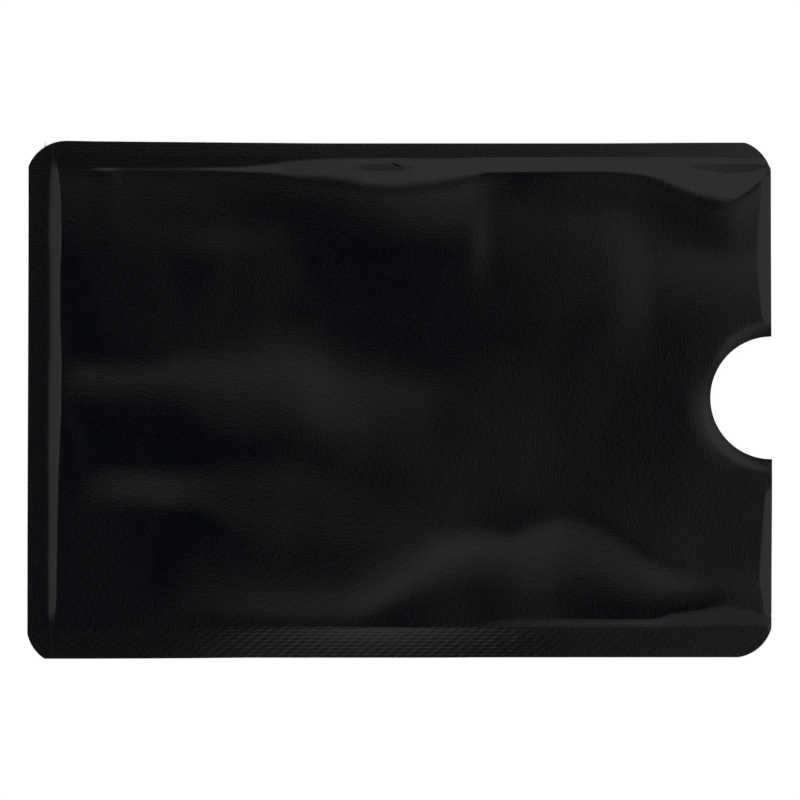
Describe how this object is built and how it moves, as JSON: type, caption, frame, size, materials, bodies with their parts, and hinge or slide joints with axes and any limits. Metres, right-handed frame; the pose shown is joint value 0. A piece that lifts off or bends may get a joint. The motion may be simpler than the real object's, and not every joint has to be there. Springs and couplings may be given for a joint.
{
  "type": "rfid card sleeve",
  "caption": "Flat black foil-laminate sleeve for a bank card, heat-sealed on three sides, open at one short side with a half-round thumb notch.",
  "frame": {"origin": "below the middle of the sleeve, on the surface that the back wall rests on", "axes": "+X from the sealed end to the open mouth, +Y across the card's short side, +Z out of the front wall"},
  "size_m": [0.091, 0.063, 0.0015],
  "materials": {
    "black_film": "gloss, fine linen emboss",
    "foil": "satin",
    "liner": "satin, silver-grey through the foil"
  },
  "bodies": {
    "root": {"front_film": "black_film", "front_foil": "foil", "front_liner": "liner", "back_liner": "liner", "back_foil": "foil", "back_film": "black_film", "top_seal": "liner", "bottom_seal": "liner", "end_seal": "liner"}
  },
  "joints": []
}
